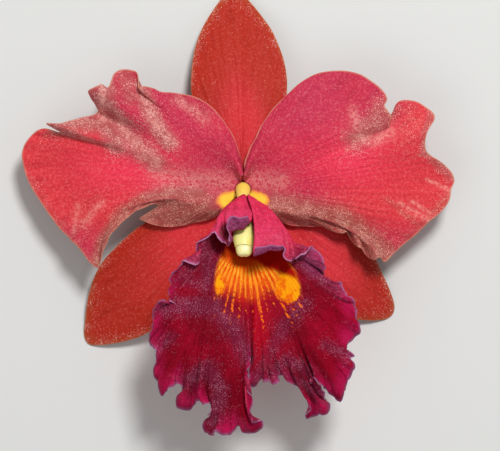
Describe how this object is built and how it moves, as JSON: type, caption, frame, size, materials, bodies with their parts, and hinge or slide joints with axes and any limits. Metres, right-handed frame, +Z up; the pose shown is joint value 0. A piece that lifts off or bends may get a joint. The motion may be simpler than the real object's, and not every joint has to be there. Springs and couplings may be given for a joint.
{
  "type": "cattleya orchid flower",
  "caption": "Single cattleya orchid flower as picked, lying face up: sepals, petals, frilled lip round the column, anther cap with pollinia, ovary and stalk.",
  "frame": {"origin": "on the surface the flower lies on, under the middle of its bounding box", "axes": "+Z up, out of the flower's face; +Y to the tip of the dorsal sepal; +X to the right as the face is seen"},
  "size_m": [0.139, 0.1432, 0.046],
  "materials": {
    "dorsal_sepal": "orange-red sepal tissue, fine sparkle",
    "lateral_sepal_left": "orange-red sepal tissue, fine sparkle",
    "lateral_sepal_right": "orange-red sepal tissue, fine sparkle",
    "petal_left": "rose-red petal tissue with crystalline sparkle",
    "petal_right": "rose-red petal tissue with crystalline sparkle",
    "lip": "velvety crimson, yellow veined throat",
    "column": "waxy pale yellow",
    "anther_cap": "waxy cream",
    "pollinium_upper_left": "hard wax",
    "pollinium_upper_right": "hard wax",
    "pollinium_lower_left": "hard wax",
    "pollinium_lower_right": "hard wax",
    "ovary_pedicel": "smooth green stalk"
  },
  "bodies": {
    "root": {"dorsal_sepal": "dorsal_sepal", "lateral_sepal_left": "lateral_sepal_left", "lateral_sepal_right": "lateral_sepal_right", "petal_left": "petal_left", "petal_right": "petal_right", "lip": "lip", "column": "column", "anther_cap": "anther_cap", "pollinium_upper_left": "pollinium_upper_left", "pollinium_upper_right": "pollinium_upper_right", "pollinium_lower_left": "pollinium_lower_left", "pollinium_lower_right": "pollinium_lower_right", "ovary_pedicel": "ovary_pedicel"}
  },
  "joints": []
}
